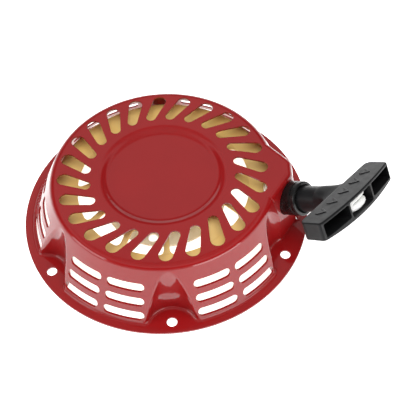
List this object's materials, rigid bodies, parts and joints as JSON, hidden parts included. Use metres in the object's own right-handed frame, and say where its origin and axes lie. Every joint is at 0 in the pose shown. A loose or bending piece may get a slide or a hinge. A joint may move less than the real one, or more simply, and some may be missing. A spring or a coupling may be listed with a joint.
{
  "type": "recoil starter",
  "caption": "Round pressed-steel recoil starter with vent slots, flanged bolt rim, rope reel, spring, pawl clutch and T-shaped pull grip.",
  "frame": {"origin": "centre of the mounting flange, on its underside", "axes": "+Z along the reel's axis, away from the engine; +X to the boss that carries the rope guide"},
  "size_m": [0.2488, 0.198, 0.0673],
  "materials": {
    "red_paint": "gloss",
    "yellow_zinc": "satin",
    "bright_steel": "satin",
    "zinc_steel": "satin",
    "spring_steel": "satin",
    "cream_nylon": "matte",
    "black_nylon": "satin",
    "grip_plastic": "satin",
    "black_rubber": "matte",
    "white_rope": "woven"
  },
  "bodies": {
    "case": {"starter_case": "red_paint", "inner_cup": "yellow_zinc", "centre_post": "bright_steel", "thrust_washer": "bright_steel", "friction_spring": "spring_steel", "screw_washer": "bright_steel", "reel_screw": "zinc_steel", "rope_guide": "black_rubber"},
    "reel": {"reel": "cream_nylon", "recoil_spring": "spring_steel", "rope_winding": "white_rope", "reel_knot": "white_rope", "pawl_pins": "bright_steel", "pawl_spring_a": "spring_steel", "pawl_spring_b": "spring_steel"},
    "clutch": {"ratchet_guide": "black_nylon"},
    "pawl_a": {"pawl_a": "zinc_steel"},
    "pawl_b": {"pawl_b": "zinc_steel"},
    "grip": {"grip": "grip_plastic", "grip_knot": "white_rope", "rope_lead": "white_rope"}
  },
  "joints": [
    {"name": "grip_pull", "type": "slide", "parent": "case", "child": "grip", "axis": [0.6899, -0.5087, 0.515], "range_m": [0, 0.6], "deforming": ["rope_lead"]},
    {"name": "reel_turn", "type": "hinge", "parent": "case", "child": "reel", "pos_m": [0, 0, 0.024], "axis": [0, 0, -1], "range_deg": [0, 1050], "stiffness_Nm_per_rad": 0.02, "springref_deg": -1718.87, "deforming": ["recoil_spring"]},
    {"name": "clutch_turn", "type": "hinge", "parent": "reel", "child": "clutch", "pos_m": [0, 0, 0.0087], "axis": [0, 0, 1], "range_deg": [0, 30], "stiffness_Nm_per_rad": 0.002, "springref_deg": -28.65},
    {"name": "pawl_a_swing", "type": "hinge", "parent": "reel", "child": "pawl_a", "pos_m": [0.00875, 0.01516, 0.0119], "axis": [0, 0, 1], "range_deg": [0, 38]},
    {"name": "pawl_b_swing", "type": "hinge", "parent": "reel", "child": "pawl_b", "pos_m": [-0.00875, -0.01516, 0.0119], "axis": [0, 0, 1], "range_deg": [0, 38]}
  ],
  "couplings": [
    {"joint": "reel_turn", "follows": "grip_pull", "rad_per_m": 29.498},
    {"joint": "pawl_a_swing", "follows": "clutch_turn", "ratio": 1.2667},
    {"joint": "pawl_b_swing", "follows": "clutch_turn", "ratio": 1.2667}
  ]
}
